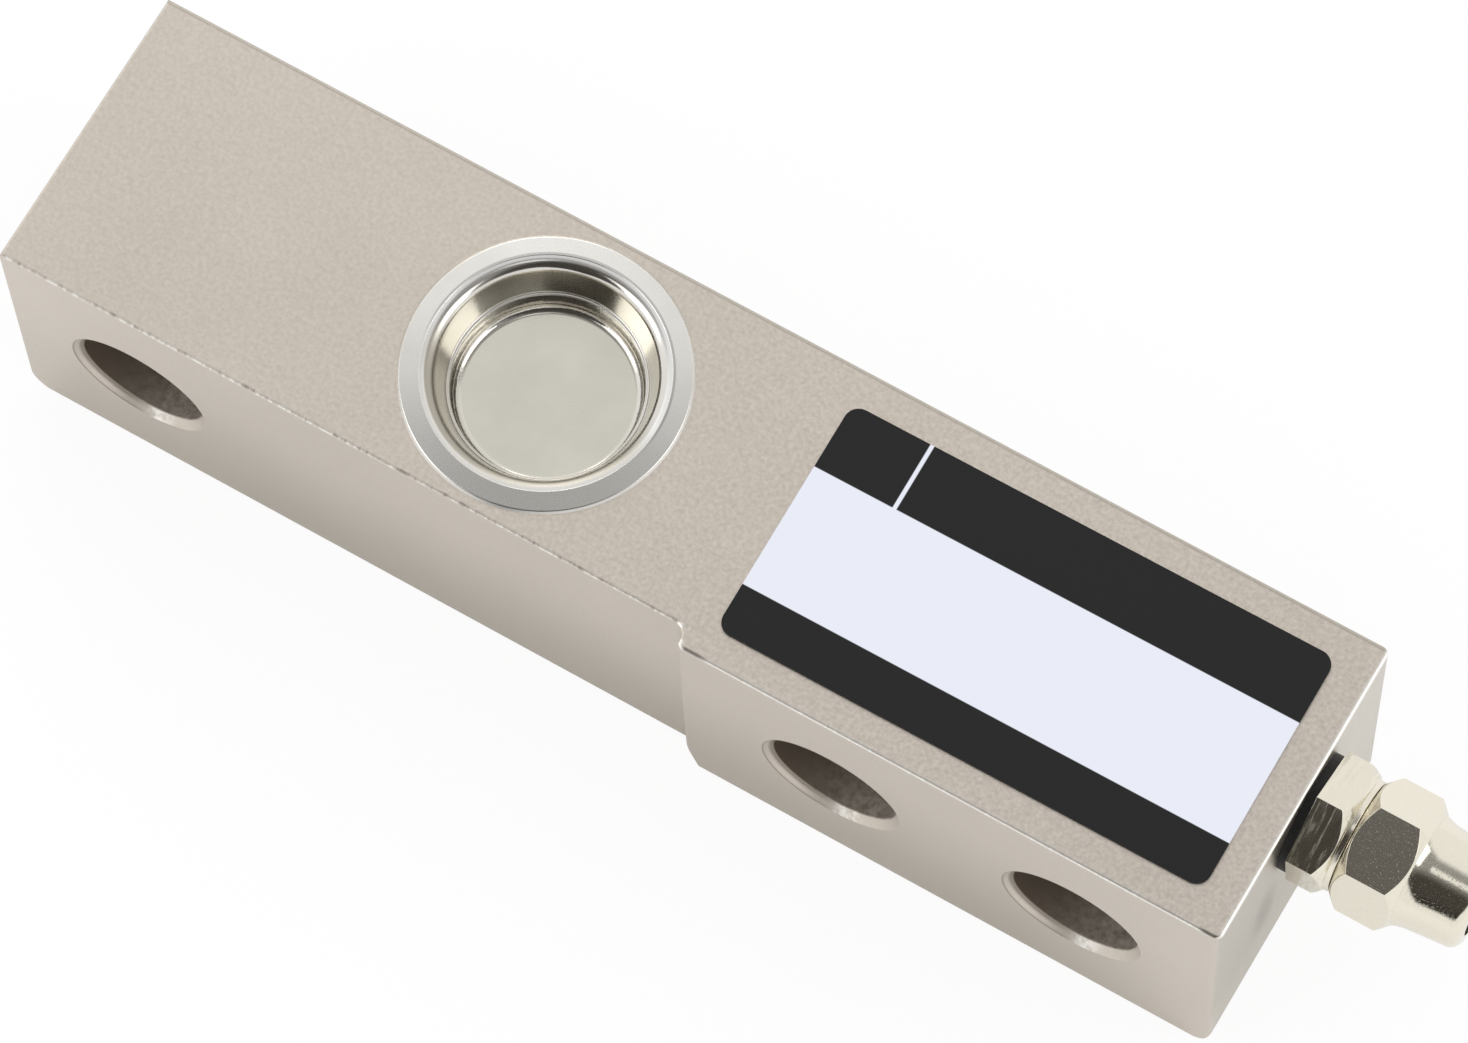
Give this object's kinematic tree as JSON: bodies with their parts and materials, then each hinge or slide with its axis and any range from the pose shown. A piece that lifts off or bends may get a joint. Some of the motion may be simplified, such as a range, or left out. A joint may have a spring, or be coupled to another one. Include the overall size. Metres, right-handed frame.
{
  "type": "cantilever beam load cell",
  "caption": "Cantilever shear beam load cell: square nickel plated steel bar with a load hole, a bolt-down mounting end, sealed gauge pockets and a hexagonal cable gland.",
  "frame": {"origin": "on the face of the mounting pad, midway between the mounting holes, in the mid-plane of the gauge web", "axes": "+X from the load end to the cable end, -Y out of the mounting pad, +Z out of the label side; the part lies on its rear side"},
  "size_m": [0.1478, 0.0318, 0.0328],
  "materials": {
    "beam": "satin nickel plating over fine blasted steel",
    "seal_cup": "polished drawn stainless sheet",
    "label": "printed film, dark bands over a pale field",
    "gasket": "black rubber",
    "gland": "polished nickel plating over brass",
    "gland_seal": "black rubber",
    "washer": "nickel plated brass",
    "gauge": "amber film with etched foil grids",
    "terminal": "amber film with tinned copper pads",
    "lead": "bare copper ribbon",
    "wire": "thin insulated wire",
    "board": "green solder mask over glass laminate",
    "chip": "dark glaze with tinned end caps"
  },
  "bodies": {
    "root": {"beam_body": "beam", "front_seal_cup": "seal_cup", "rear_seal_cup": "seal_cup", "rating_label": "label", "gland_gasket": "gasket", "gland_body": "gland", "gland_cap_nut": "gland", "gland_seal_insert": "gland_seal", "gland_thrust_washer": "washer", "front_strain_gauge": "gauge", "rear_strain_gauge": "gauge", "front_terminal_strip": "terminal", "rear_terminal_strip": "terminal", "front_gauge_leads": "lead", "rear_gauge_leads": "lead", "crossover_wires": "wire", "bridge_wires": "wire", "compensation_board": "board", "span_set_resistor": "chip", "zero_balance_resistor": "chip", "supply_modulus_resistor": "chip", "return_modulus_resistor": "chip"}
  },
  "joints": []
}
